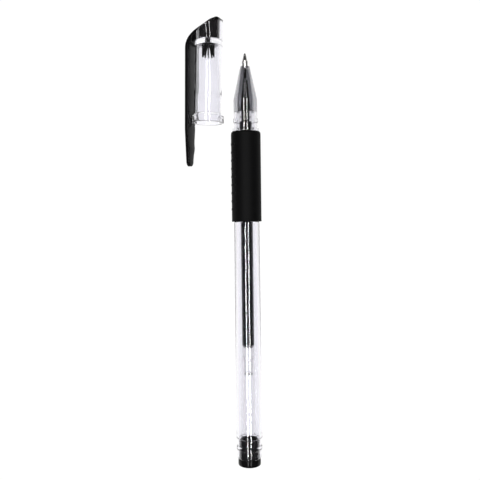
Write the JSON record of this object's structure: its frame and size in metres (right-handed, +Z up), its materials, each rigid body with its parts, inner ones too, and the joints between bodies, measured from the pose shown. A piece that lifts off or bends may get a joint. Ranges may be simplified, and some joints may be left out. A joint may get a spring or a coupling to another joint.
{
  "type": "gel pen",
  "caption": "Clear gel pen with a black rubber grip, lying beside its pulled-off clear cap with a black clip head.",
  "frame": {"origin": "on the table, midway along and across the pen and the cap that lies beside it", "axes": "+Y from the rear plug towards the writing ball, +Z up from the table, +X from the cap towards the pen"},
  "size_m": [0.026, 0.1526, 0.0111],
  "materials": {
    "clear_plastic": "clear, polished",
    "refill_plastic": "clear, slightly waxy",
    "holder_plastic": "translucent, satin",
    "grip_rubber": "matte, fine moulded dots",
    "black_plastic": "gloss",
    "point_metal": "turned, bright",
    "ball_metal": "polished",
    "black_ink": "wet gel",
    "follower_gel": "clear gel"
  },
  "bodies": {
    "pen": {"barrel": "clear_plastic", "grip_sleeve": "grip_rubber", "rear_plug": "black_plastic"},
    "refill": {"refill_tube": "refill_plastic", "tip_holder": "holder_plastic", "tip_cone": "point_metal", "ink_column": "black_ink"},
    "nose": {"nose_cone": "clear_plastic"},
    "ball": {"writing_ball": "ball_metal"},
    "follower": {"ink_follower": "follower_gel"},
    "cap": {"cap_tube": "clear_plastic", "cap_head": "black_plastic"},
    "clip": {"clip_arm": "black_plastic"}
  },
  "joints": [
    {"name": "refill_slide", "type": "slide", "parent": "pen", "child": "refill", "axis": [0, 1, 0], "range_m": [0, 0.115]},
    {"name": "nose_slide", "type": "slide", "parent": "refill", "child": "nose", "axis": [0, 1, 0], "range_m": [0, 0.035]},
    {"name": "ink_use", "type": "slide", "parent": "refill", "child": "follower", "axis": [0, 1, 0], "range_m": [0, 0.074], "deforming": ["ink_column"]},
    {"name": "ball_spin", "type": "hinge", "parent": "refill", "child": "ball", "pos_m": [0.00782, 0.06447, 0.00515], "axis": [1, 0, 0], "continuous": true},
    {"name": "cap_slide", "type": "slide", "parent": "pen", "child": "cap", "axis": [0.0305, 0.9995, 0], "range_m": [0, 0.06]},
    {"name": "clip_flex", "type": "hinge", "parent": "cap", "child": "clip", "pos_m": [-0.01078, 0.06826, 0.00283], "axis": [0.3907, -0.0119, -0.9205], "range_deg": [0, 4], "stiffness_Nm_per_rad": 0.2}
  ]
}
